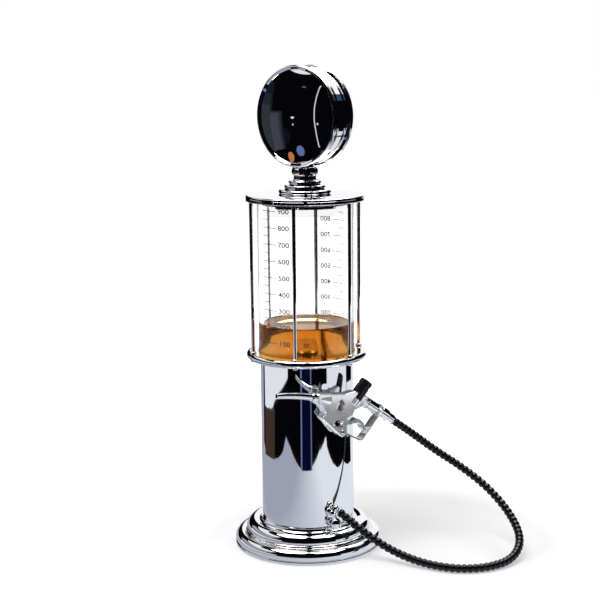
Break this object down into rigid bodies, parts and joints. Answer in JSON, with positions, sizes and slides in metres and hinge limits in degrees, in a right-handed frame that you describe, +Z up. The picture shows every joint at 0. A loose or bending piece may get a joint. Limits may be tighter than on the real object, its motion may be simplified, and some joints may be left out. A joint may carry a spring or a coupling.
{
  "type": "drink dispenser",
  "caption": "Chrome drink dispenser shaped like an old fuel pump: round base and column, clear canister in a cage of rods, round mirrored head, and a hose with a trigger nozzle on a hook",
  "frame": {"origin": "centre of the resting face of the foot pad", "axes": "+Z up, the front of the dispenser faces -Y, +X to the right seen from the front"},
  "size_m": [0.2936, 0.1767, 0.4901],
  "materials": {
    "chrome": "bright chrome plate",
    "cast_chrome": "satin-bright plate on a casting",
    "steel": "plain turned steel",
    "mirror": "domed mirror",
    "black_gloss": "moulded, high gloss",
    "foot_rubber": "matt",
    "seal_rubber": "matt",
    "hose_rubber": "ribbed, slightly shiny",
    "soft_tube": "translucent soft tube",
    "clear_acrylic": "clear, polished",
    "drink": "clear amber liquid"
  },
  "bodies": {
    "root": {"base_pad": "foot_rubber", "base_plate": "steel", "base_shell": "chrome", "base_screws": "steel", "column_tube": "chrome", "column_foot_ring": "steel", "support_ring": "chrome", "cage_rods": "chrome", "rod_nuts": "chrome", "rod_collars": "chrome", "cage_ring": "chrome", "canister": "clear_acrylic", "canister_gasket": "seal_rubber", "drain_fitting": "steel", "drain_nut": "steel", "drain_washer": "seal_rubber", "drink": "drink", "feed_tube": "soft_tube", "tube_clips": "steel", "outlet_elbow": "chrome", "outlet_nut": "steel", "outlet_ferrule": "chrome", "hose": "hose_rubber", "gun_hook": "chrome", "hook_screws": "chrome"},
    "lid": {"lid_cap": "chrome", "lid_seal": "seal_rubber", "pedestal": "chrome", "pedestal_nut": "steel"},
    "head": {"head_drum": "chrome", "front_bezel": "chrome", "rear_bezel": "chrome", "front_mirror": "mirror", "rear_mirror": "mirror", "swivel_stem": "chrome", "stem_nut": "steel"},
    "gun": {"gun_body": "cast_chrome", "spout": "chrome", "spout_nut": "chrome", "bonnet_cap": "black_gloss", "bonnet_ring": "seal_rubber", "handle_sleeve": "black_gloss", "hose_ferrule": "chrome", "trigger_guard": "cast_chrome", "guard_screw": "chrome", "pivot_screw": "chrome", "valve_spring": "steel"},
    "trigger": {"trigger": "cast_chrome"},
    "valve": {"valve_stem": "steel", "valve_washer": "seal_rubber"}
  },
  "joints": [
    {"name": "lid_lift", "type": "slide", "parent": "root", "child": "lid", "axis": [0, 0, 1], "range_m": [0, 0.06]},
    {"name": "head_swivel", "type": "hinge", "parent": "lid", "child": "head", "pos_m": [0, 0, 0.3893], "axis": [0, 0, 1], "continuous": true},
    {"name": "gun_lift", "type": "slide", "parent": "root", "child": "gun", "axis": [0, 0, 1], "range_m": [0, 0.02], "deforming": ["hose"]},
    {"name": "trigger_pull", "type": "hinge", "parent": "gun", "child": "trigger", "pos_m": [0.02588, -0.05203, 0.1413], "axis": [0.5, -0.866, 0], "range_deg": [0, 18], "stiffness_Nm_per_rad": 0.4, "springref_deg": -8.59},
    {"name": "valve_slide", "type": "slide", "parent": "gun", "child": "valve", "axis": [0.5795, 0.3346, 0.7431], "range_m": [0, 0.0016], "deforming": ["valve_spring"]}
  ],
  "couplings": [
    {"joint": "trigger_pull", "follows": "valve_slide", "rad_per_m": 196}
  ]
}
